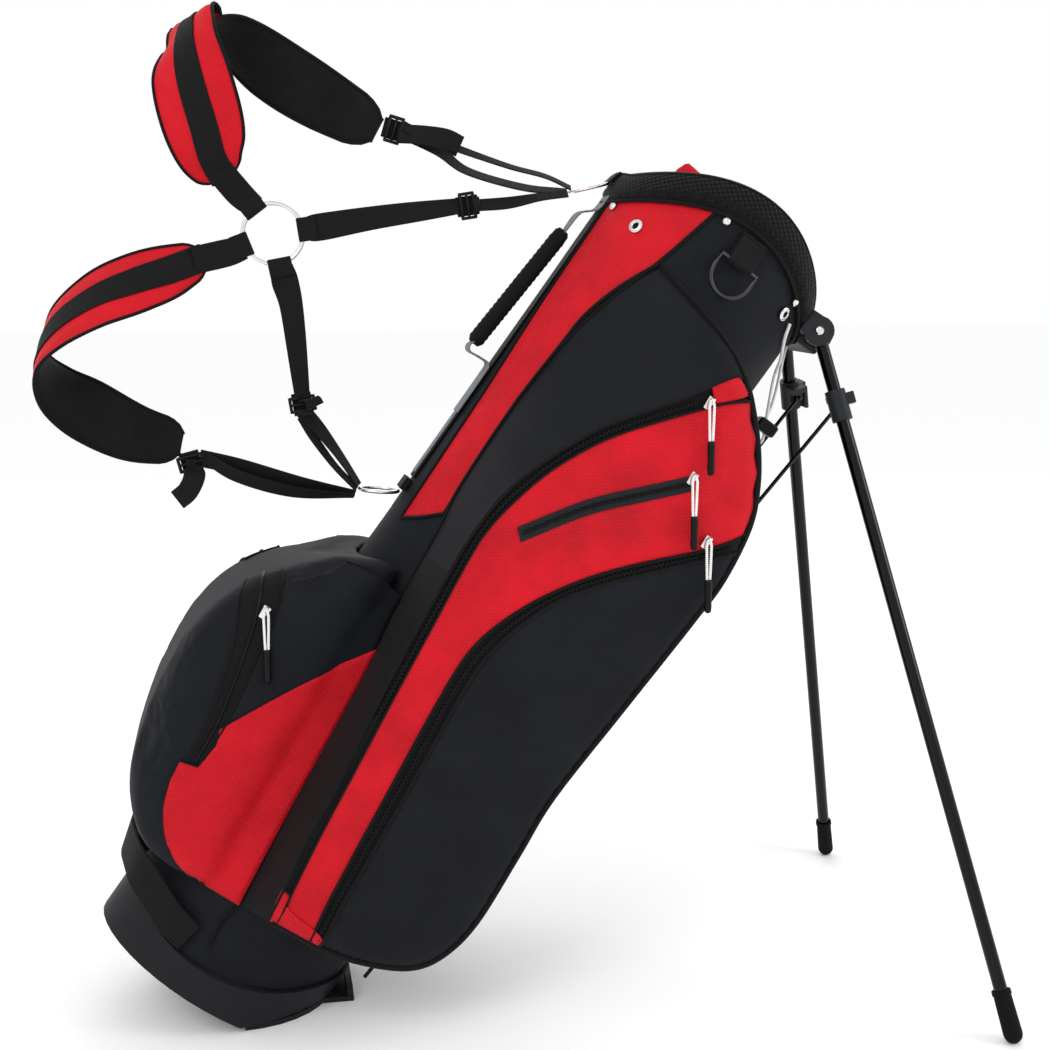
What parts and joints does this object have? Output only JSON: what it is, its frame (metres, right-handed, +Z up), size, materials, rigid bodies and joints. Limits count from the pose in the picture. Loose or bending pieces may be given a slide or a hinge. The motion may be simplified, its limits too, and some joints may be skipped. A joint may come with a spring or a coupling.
{
  "type": "golf stand bag",
  "caption": "Golf stand bag leaning on two fold-out legs, with zipped side and ball pockets, carry handle, towel ring and a double shoulder harness.",
  "frame": {"origin": "middle of the foot plate's flat face on the ground, with the bag leaning on its legs", "axes": "+Z up, +X towards the legs, Y across the bag; the zipped side that faces the viewer is -Y"},
  "size_m": [0.8814, 0.4906, 0.9402],
  "materials": {
    "black_cloth": "matte woven polyester",
    "red_cloth": "satin textured polyester",
    "mesh_cloth": "matte open spacer mesh",
    "webbing": "matte ribbed webbing",
    "moulded_plastic": "fine grained matte",
    "gloss_plastic": "semi-gloss moulded",
    "leg_finish": "gloss black",
    "stay_rod": "satin fibreglass",
    "rubber_tip": "matte",
    "bright_steel": "polished nickel plate",
    "cord": "braided"
  },
  "bodies": {
    "bag": {"attach_ring_middle": "bright_steel", "attach_ring_top": "bright_steel", "attach_tab_middle": "webbing", "attach_tab_top": "webbing", "ball_pocket": "black_cloth", "base_grab_loop": "webbing", "body_shell": "black_cloth", "bottom_boot": "moulded_plastic", "buckle_down": "gloss_plastic", "buckle_lower_pad": "gloss_plastic", "buckle_right": "gloss_plastic", "buckle_upper_pad": "gloss_plastic", "collar_cuff": "mesh_cloth", "cord_keeper": "gloss_plastic", "divider_frame": "red_cloth", "divider_walls": "black_cloth", "elastic_cord_middle": "cord", "elastic_cord_near": "cord", "foot_hinge_pin": "bright_steel", "handle_grip": "mesh_cloth", "handle_web_bottom": "webbing", "handle_web_top": "webbing", "harness_ring": "bright_steel", "leg_pivot_pin_far": "bright_steel", "leg_pivot_pin_near": "bright_steel", "ring_tab": "webbing", "shoulder_pad_lower": "red_cloth", "shoulder_pad_upper": "red_cloth", "side_pocket_far": "black_cloth", "side_pocket_near": "black_cloth", "stand_bracket": "moulded_plastic", "stay_far": "stay_rod", "stay_near": "stay_rod", "strap_down_buckle_to_middle": "webbing", "strap_lower_pad_to_middle": "webbing", "strap_right_buckle_to_top": "webbing", "strap_ring_to_down_buckle": "webbing", "strap_ring_to_lower_pad": "webbing", "strap_ring_to_right_buckle": "webbing", "strap_ring_to_upper_pad": "webbing", "strap_upper_pad_to_top": "webbing", "top_collar": "moulded_plastic"},
    "leg_near": {"leg_tube_near": "leg_finish", "foot_tip_near": "rubber_tip", "leg_collar_near": "moulded_plastic"},
    "leg_far": {"leg_tube_far": "leg_finish", "foot_tip_far": "rubber_tip", "leg_collar_far": "moulded_plastic"},
    "rod_near": {"push_rod_near": "leg_finish"},
    "rod_far": {"push_rod_far": "leg_finish"},
    "foot_plate": {"foot_plate": "moulded_plastic"},
    "towel_ring": {"towel_ring": "gloss_plastic"},
    "zip_upper": {"zip_upper_slider": "bright_steel"},
    "zip_upper_pull": {"zip_upper_pull": "cord"},
    "zip_valuables": {"zip_valuables_slider": "bright_steel"},
    "zip_valuables_pull": {"zip_valuables_pull": "cord"},
    "zip_apparel": {"zip_apparel_slider": "bright_steel"},
    "zip_apparel_pull": {"zip_apparel_pull": "cord"},
    "zip_ball": {"zip_ball_slider": "bright_steel"},
    "zip_ball_pull": {"zip_ball_pull": "cord"}
  },
  "joints": [
    {"name": "leg_near_fold", "type": "hinge", "parent": "bag", "child": "leg_near", "pos_m": [0.51882, -0.047, 0.64836], "axis": [0.2925, 0.9324, -0.2125], "range_deg": [0, 50.26]},
    {"name": "leg_far_fold", "type": "hinge", "parent": "bag", "child": "leg_far", "pos_m": [0.51882, 0.047, 0.64836], "axis": [-0.2925, 0.9324, 0.2125], "range_deg": [0, 50.26]},
    {"name": "rod_near_swing", "type": "hinge", "parent": "leg_near", "child": "rod_near", "pos_m": [0.53791, -0.05303, 0.57759], "axis": [-0.2925, -0.9324, 0.2125], "range_deg": [0, 54.37]},
    {"name": "rod_far_swing", "type": "hinge", "parent": "leg_far", "child": "rod_far", "pos_m": [0.53791, 0.05303, 0.57759], "axis": [0.2925, -0.9324, -0.2125], "range_deg": [0, 54.37]},
    {"name": "foot_plate_hinge", "type": "hinge", "parent": "bag", "child": "foot_plate", "pos_m": [-0.044, 0, 0.0045], "axis": [0, 1, 0], "range_deg": [0, 36.01]},
    {"name": "towel_ring_swing", "type": "hinge", "parent": "bag", "child": "towel_ring", "pos_m": [0.42123, -0.0986, 0.71308], "axis": [-0.809, 0, 0.5878], "range_deg": [0, 120]},
    {"name": "zip_upper_slide", "type": "slide", "parent": "bag", "child": "zip_upper", "axis": [-0.9465, 0, -0.3226], "range_m": [0, 0.14]},
    {"name": "zip_upper_pull_swing", "type": "hinge", "parent": "zip_upper", "child": "zip_upper_pull", "pos_m": [0.38144, -0.1512, 0.59367], "axis": [0, 1, 0], "range_deg": [-60, 60]},
    {"name": "zip_valuables_slide", "type": "slide", "parent": "bag", "child": "zip_valuables", "axis": [-0.9594, 0, -0.2822], "range_m": [0, 0.16]},
    {"name": "zip_valuables_pull_swing", "type": "hinge", "parent": "zip_valuables", "child": "zip_valuables_pull", "pos_m": [0.36706, -0.1512, 0.52624], "axis": [0, 1, 0], "range_deg": [-7, 60]},
    {"name": "zip_apparel_slide", "type": "slide", "parent": "bag", "child": "zip_apparel", "axis": [-0.9897, 0, -0.1429], "range_m": [0, 0.14]},
    {"name": "zip_apparel_pull_swing", "type": "hinge", "parent": "zip_apparel", "child": "zip_apparel_pull", "pos_m": [0.38135, -0.1512, 0.46765], "axis": [0, 1, 0], "range_deg": [-60, 40]},
    {"name": "zip_ball_slide", "type": "slide", "parent": "bag", "child": "zip_ball", "axis": [-0.3839, 0, -0.9234], "range_m": [0, 0.08]},
    {"name": "zip_ball_pull_swing", "type": "hinge", "parent": "zip_ball", "child": "zip_ball_pull", "pos_m": [-0.01358, -0.0972, 0.40725], "axis": [0, 1, 0], "range_deg": [-60, 60]}
  ],
  "couplings": [
    {"joint": "leg_far_fold", "follows": "leg_near_fold", "ratio": 1},
    {"joint": "rod_near_swing", "follows": "leg_near_fold", "ratio": 1.0816},
    {"joint": "rod_far_swing", "follows": "leg_near_fold", "ratio": 1.0816},
    {"joint": "foot_plate_hinge", "follows": "leg_near_fold", "ratio": 0.71627}
  ]
}
